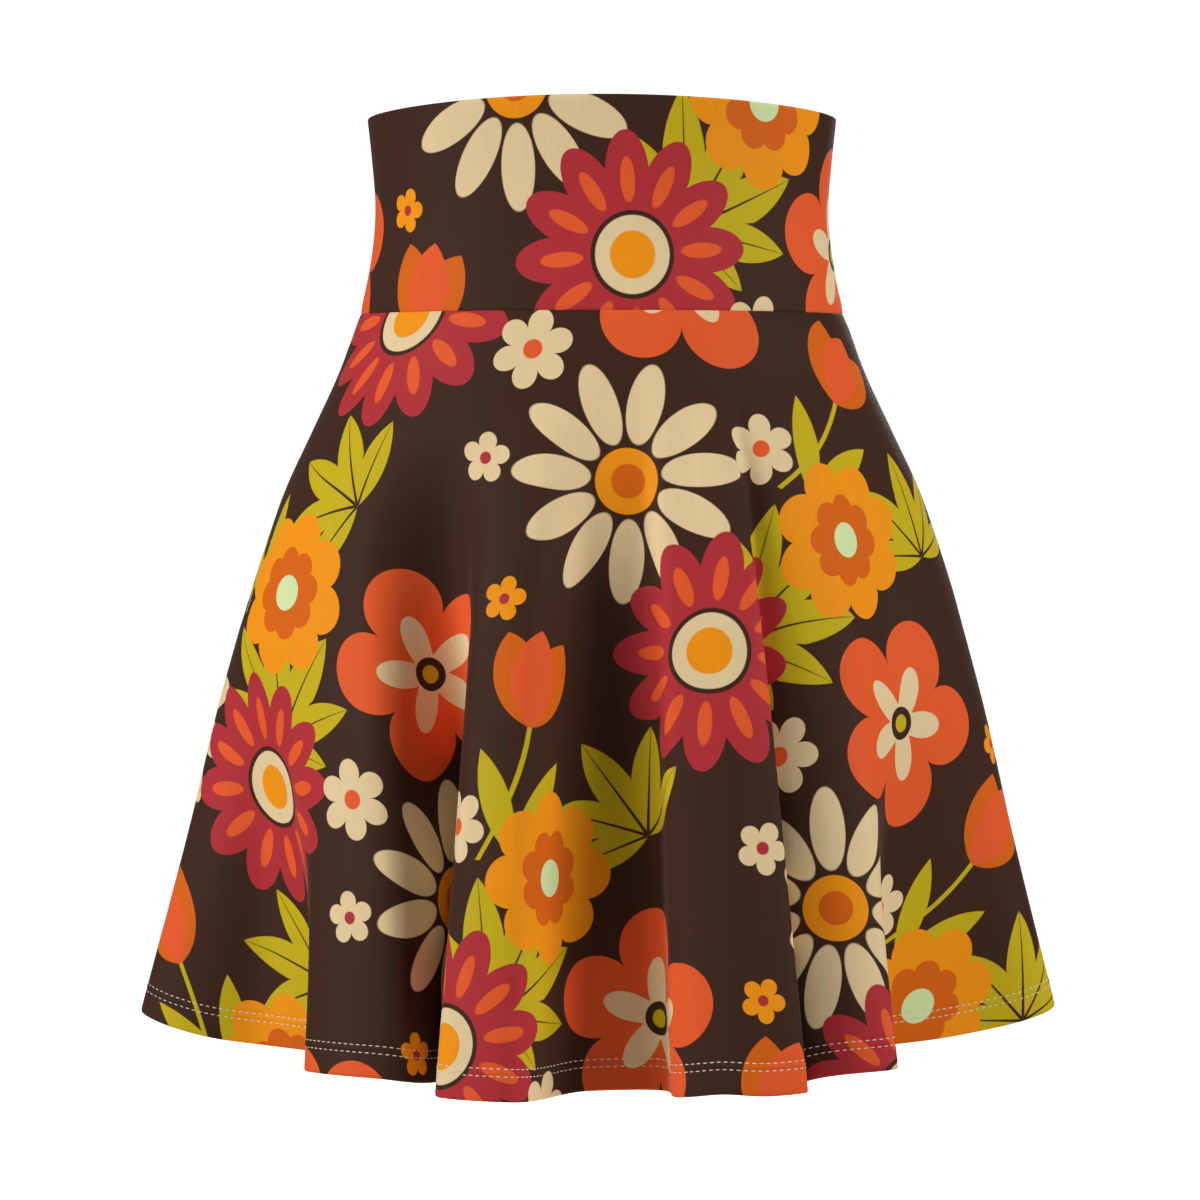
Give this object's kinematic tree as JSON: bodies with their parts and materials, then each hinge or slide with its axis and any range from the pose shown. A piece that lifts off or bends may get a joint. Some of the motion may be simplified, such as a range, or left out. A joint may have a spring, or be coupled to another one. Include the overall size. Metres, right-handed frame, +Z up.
{
  "type": "circle skirt",
  "caption": "Flared circle skirt with a wide contoured waistband, an all-over flower print and a twin-needle hem, filled out as worn.",
  "frame": {"origin": "centre of the waist, at the narrowest ring of the waistband, where the wearer holds the skirt up", "axes": "+Z up the wearer's body, the front of the skirt faces -Y, +X is the wearer's left"},
  "size_m": [0.4742, 0.3396, 0.4889],
  "materials": {
    "waistband_print": "smooth printed polyester and spandex knit, double layer, soft satin sheen",
    "skirt_print": "smooth printed polyester and spandex knit, single layer, soft satin sheen"
  },
  "bodies": {
    "root": {"waistband_front": "waistband_print", "waistband_back": "waistband_print", "skirt_front": "skirt_print", "skirt_back": "skirt_print"}
  },
  "joints": []
}
